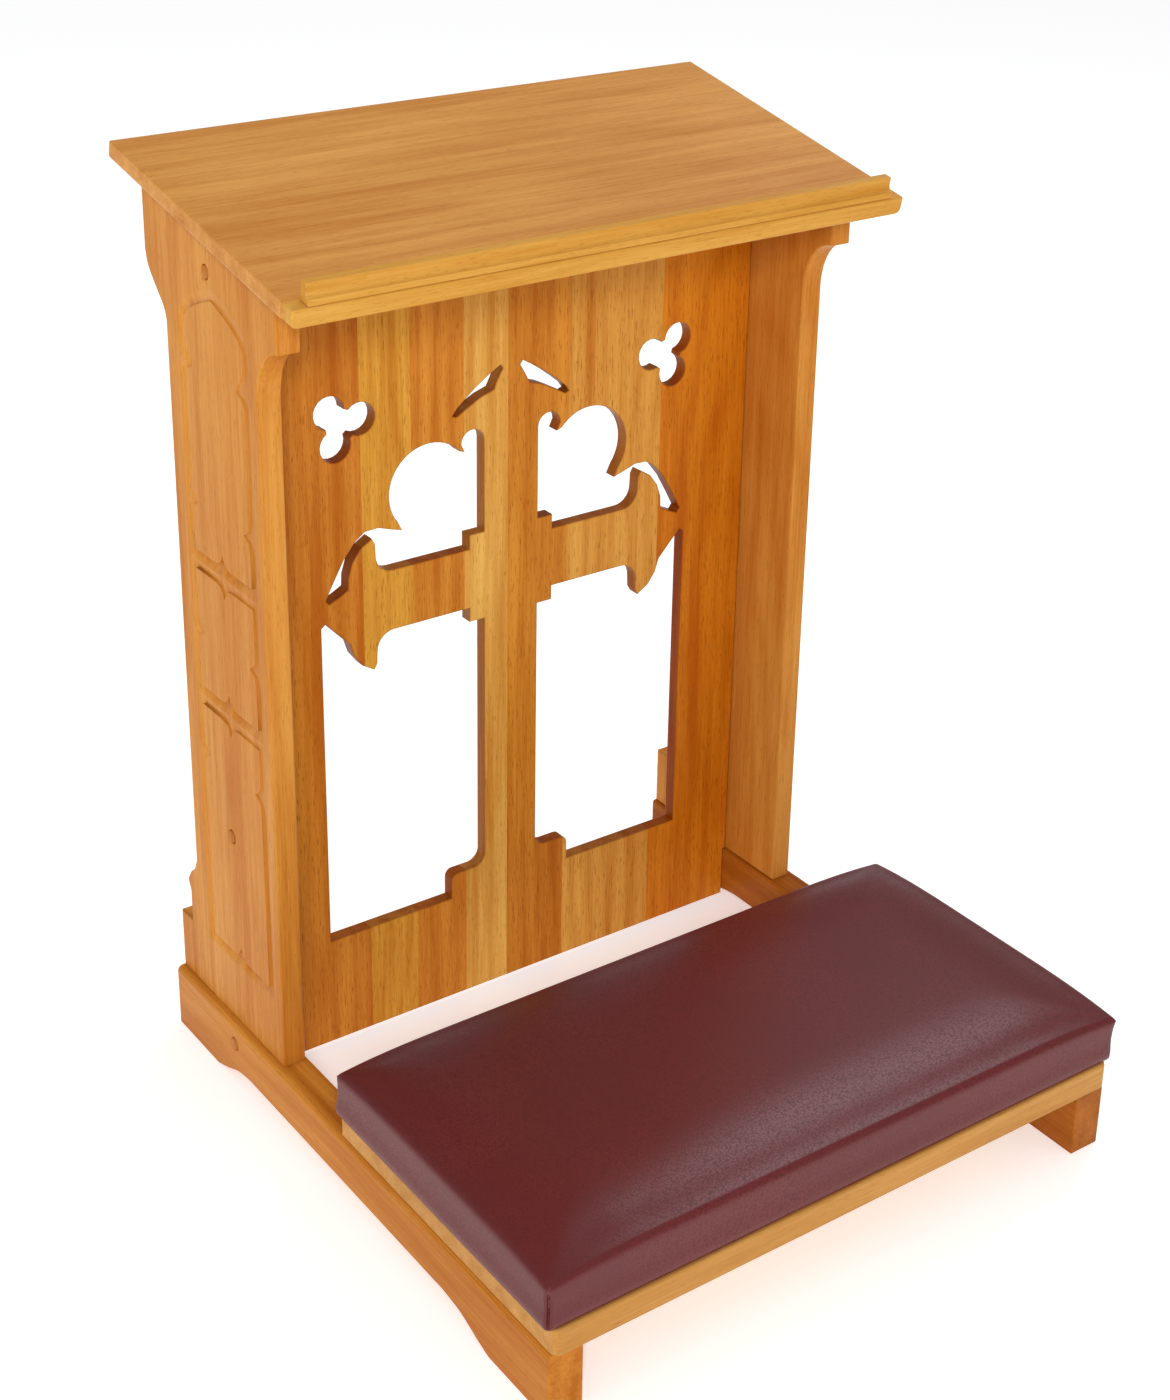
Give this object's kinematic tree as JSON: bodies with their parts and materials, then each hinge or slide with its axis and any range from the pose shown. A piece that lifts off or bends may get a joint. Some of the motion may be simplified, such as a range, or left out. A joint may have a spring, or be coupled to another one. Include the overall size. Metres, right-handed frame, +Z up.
{
  "type": "kneeling bench",
  "caption": "Wooden prie-dieu with a sloping book desk, a pierced cross panel between shaped sides, and a padded kneeler board on two base rails.",
  "frame": {"origin": "on the floor, under the middle of the bench's overall box", "axes": "+X to the right of a person kneeling at it, +Y away from them towards the back of the desk, +Z up"},
  "size_m": [0.5846, 0.6302, 0.8246],
  "materials": {
    "honey_wood": "satin lacquer over honey-stained hardwood",
    "amber_wood": "satin lacquer over edge-glued amber hardwood staves",
    "pale_wood": "satin lacquer over pale hardwood",
    "maroon_vinyl": "grained upholstery vinyl with a soft sheen",
    "cushion_foam": "open-cell foam",
    "plywood": "bare birch plywood",
    "screw_steel": "zinc-plated steel"
  },
  "bodies": {
    "root": {"book_ledge": "honey_wood", "desk_board": "honey_wood", "desk_dowel_left_front": "amber_wood", "desk_dowel_left_middle": "amber_wood", "desk_dowel_left_rear": "amber_wood", "desk_dowel_right_front": "amber_wood", "desk_dowel_right_middle": "amber_wood", "desk_dowel_right_rear": "amber_wood", "desk_nosing": "honey_wood", "fret_panel": "amber_wood", "kneeler_board": "pale_wood", "kneeler_screw_left_front": "screw_steel", "kneeler_screw_left_rear": "screw_steel", "kneeler_screw_right_front": "screw_steel", "kneeler_screw_right_rear": "screw_steel", "left_base_rail": "honey_wood", "left_side_panel": "honey_wood", "pad_cover": "maroon_vinyl", "pad_foam": "cushion_foam", "pad_plywood_base": "plywood", "pad_screw_left_front": "screw_steel", "pad_screw_left_rear": "screw_steel", "pad_screw_right_front": "screw_steel", "pad_screw_right_rear": "screw_steel", "panel_screw_left_lower": "screw_steel", "panel_screw_left_rail": "screw_steel", "panel_screw_left_upper": "screw_steel", "panel_screw_right_lower": "screw_steel", "panel_screw_right_rail": "screw_steel", "panel_screw_right_upper": "screw_steel", "right_base_rail": "honey_wood", "right_side_panel": "honey_wood", "screw_plug_left_lower": "amber_wood", "screw_plug_left_rail": "amber_wood", "screw_plug_left_upper": "amber_wood", "screw_plug_right_lower": "amber_wood", "screw_plug_right_rail": "amber_wood", "screw_plug_right_upper": "amber_wood", "side_screw_left_front": "screw_steel", "side_screw_left_rear": "screw_steel", "side_screw_right_front": "screw_steel", "side_screw_right_rear": "screw_steel"}
  },
  "joints": []
}
